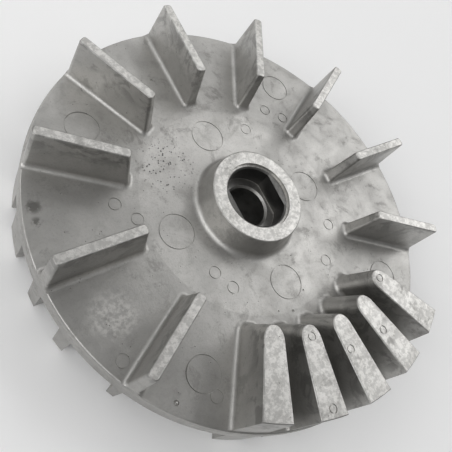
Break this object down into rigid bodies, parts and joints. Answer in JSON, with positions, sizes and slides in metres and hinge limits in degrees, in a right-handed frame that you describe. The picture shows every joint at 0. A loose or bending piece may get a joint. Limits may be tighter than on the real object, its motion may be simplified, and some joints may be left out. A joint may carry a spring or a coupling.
{
  "type": "engine flywheel",
  "caption": "Die-cast fan flywheel of a small engine: disc with thin front blades, thick counterweight fins, rear vanes, hub with double-D socket, magnet and pole shoes.",
  "frame": {"origin": "on the crank axis, at the rear hub face and the ends of the thick rear vanes", "axes": "+Z along the crank axis, away from the engine; -Y towards the middle counterweight fin, +Y towards the magnet"},
  "size_m": [0.1, 0.1, 0.0239],
  "materials": {
    "cast_aluminium": "die-cast satin, slightly stained",
    "sleeve_steel": "turned steel",
    "lamination_steel": "ground electrical steel",
    "magnet": "dark sintered magnet",
    "rivet_steel": "bright steel"
  },
  "bodies": {
    "root": {"counterweight_fin_1": "cast_aluminium", "counterweight_fin_2": "cast_aluminium", "counterweight_fin_3": "cast_aluminium", "counterweight_fin_4": "cast_aluminium", "counterweight_fin_5": "cast_aluminium", "crank_sleeve": "sleeve_steel", "front_blade_1": "cast_aluminium", "front_blade_2": "cast_aluminium", "front_blade_3": "cast_aluminium", "front_blade_4": "cast_aluminium", "front_blade_5": "cast_aluminium", "front_blade_6": "cast_aluminium", "front_blade_7": "cast_aluminium", "front_blade_8": "cast_aluminium", "front_blade_9": "cast_aluminium", "front_hub_boss": "cast_aluminium", "magnet": "magnet", "magnet_housing": "cast_aluminium", "pole_rivets": "rivet_steel", "pole_shoe_left": "lamination_steel", "pole_shoe_right": "lamination_steel", "rear_hub": "cast_aluminium", "rear_vane_01": "cast_aluminium", "rear_vane_02": "cast_aluminium", "rear_vane_03": "cast_aluminium", "rear_vane_04": "cast_aluminium", "rear_vane_05": "cast_aluminium", "rear_vane_06": "cast_aluminium", "rear_vane_07": "cast_aluminium", "rear_vane_08": "cast_aluminium", "rear_vane_09": "cast_aluminium", "rear_vane_10": "cast_aluminium", "rear_vane_11": "cast_aluminium", "rear_vane_12": "cast_aluminium", "rear_vane_13": "cast_aluminium", "rear_vane_14": "cast_aluminium", "rear_vane_15": "cast_aluminium", "rear_vane_16": "cast_aluminium", "rear_vane_17": "cast_aluminium", "wheel_disc": "cast_aluminium"}
  },
  "joints": []
}
